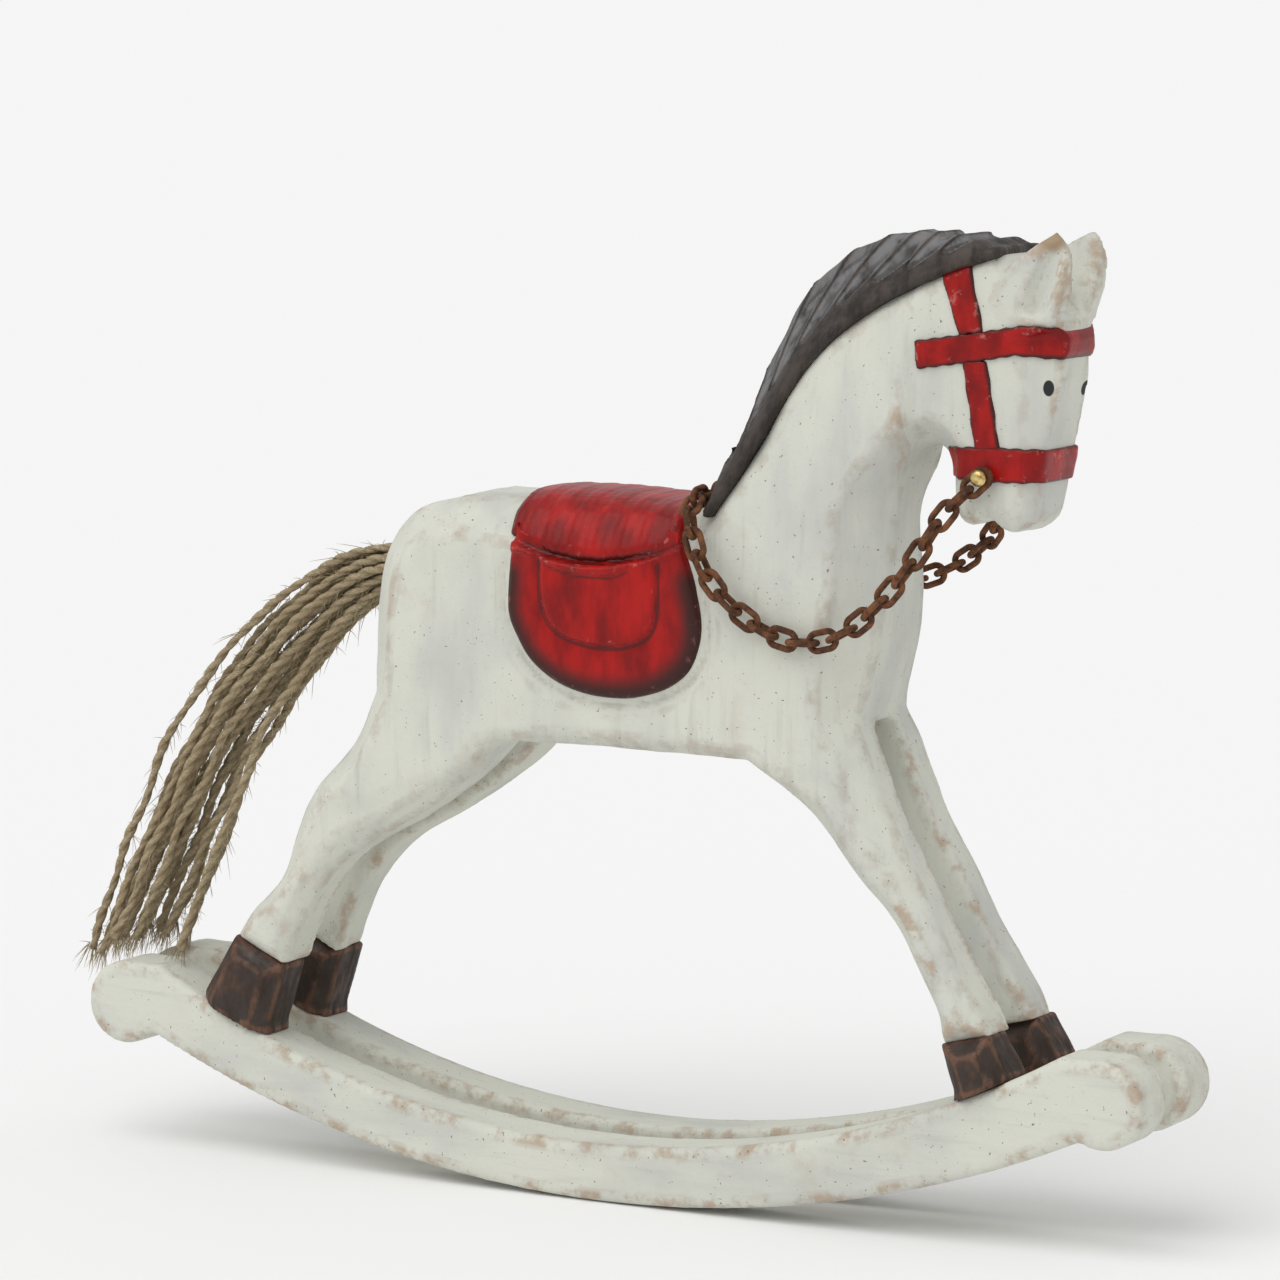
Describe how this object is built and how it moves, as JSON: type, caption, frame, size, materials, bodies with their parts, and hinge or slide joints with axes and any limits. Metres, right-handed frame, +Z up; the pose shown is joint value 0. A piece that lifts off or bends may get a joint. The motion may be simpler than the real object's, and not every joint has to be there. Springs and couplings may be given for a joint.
{
  "type": "carved toy rocking horse",
  "caption": "Small carved and painted wooden rocking horse on two curved rails, with red saddle and bridle, a wire-link chain as reins that lifts over the head, and a twine tail.",
  "frame": {"origin": "on the floor, at the middle of the object's box in X and Y, under the rails", "axes": "+X the way the horse faces, +Y to the horse's left (far) side, +Z up"},
  "size_m": [0.2452, 0.0476, 0.191],
  "materials": {
    "whitewashed_wood": "matte",
    "whitewashed_rails": "matte",
    "dark_mane": "satin",
    "red_saddle": "gloss",
    "red_bridle": "gloss",
    "brown_hoof": "satin",
    "rusty_chain": "matte",
    "brass_nail": "polished",
    "tail_twine": "matte",
    "bare_dowel": "matte"
  },
  "bodies": {
    "carved_horse": {"browband": "red_bridle", "far_front_hoof": "brown_hoof", "far_lower_cheek_strap": "red_bridle", "far_rear_hoof": "brown_hoof", "far_rein_nail": "brass_nail", "far_rocker": "whitewashed_rails", "far_saddle_flap": "red_saddle", "far_upper_cheek_strap": "red_bridle", "horse_body": "whitewashed_wood", "mane": "dark_mane", "near_front_hoof": "brown_hoof", "near_lower_cheek_strap": "red_bridle", "near_rear_hoof": "brown_hoof", "near_rein_nail": "brass_nail", "near_rocker": "whitewashed_rails", "near_saddle_flap": "red_saddle", "near_upper_cheek_strap": "red_bridle", "noseband": "red_bridle", "rocker_dowels": "bare_dowel", "saddle_seat": "red_saddle", "tail_peg": "bare_dowel", "tail_strand_bottom_far": "tail_twine", "tail_strand_bottom_middle": "tail_twine", "tail_strand_loose_near": "tail_twine", "tail_strand_lower_far": "tail_twine", "tail_strand_lower_mid_far": "tail_twine", "tail_strand_lower_mid_near": "tail_twine", "tail_strand_lower_near": "tail_twine", "tail_strand_middle_far": "tail_twine", "tail_strand_middle_mid_far": "tail_twine", "tail_strand_middle_mid_near": "tail_twine", "tail_strand_middle_near": "tail_twine", "tail_strand_top_far": "tail_twine", "tail_strand_top_middle": "tail_twine", "tail_strand_top_near": "tail_twine", "tail_strand_upper_far": "tail_twine", "tail_strand_upper_mid_far": "tail_twine", "tail_strand_upper_mid_near": "tail_twine", "tail_strand_upper_near": "tail_twine"},
    "reins": {"rein_chain": "rusty_chain"}
  },
  "joints": [
    {"name": "reins_lift", "type": "hinge", "parent": "carved_horse", "child": "reins", "pos_m": [0.082, 0, 0.1452], "axis": [0, 1, 0], "range_deg": [0, 235]}
  ]
}
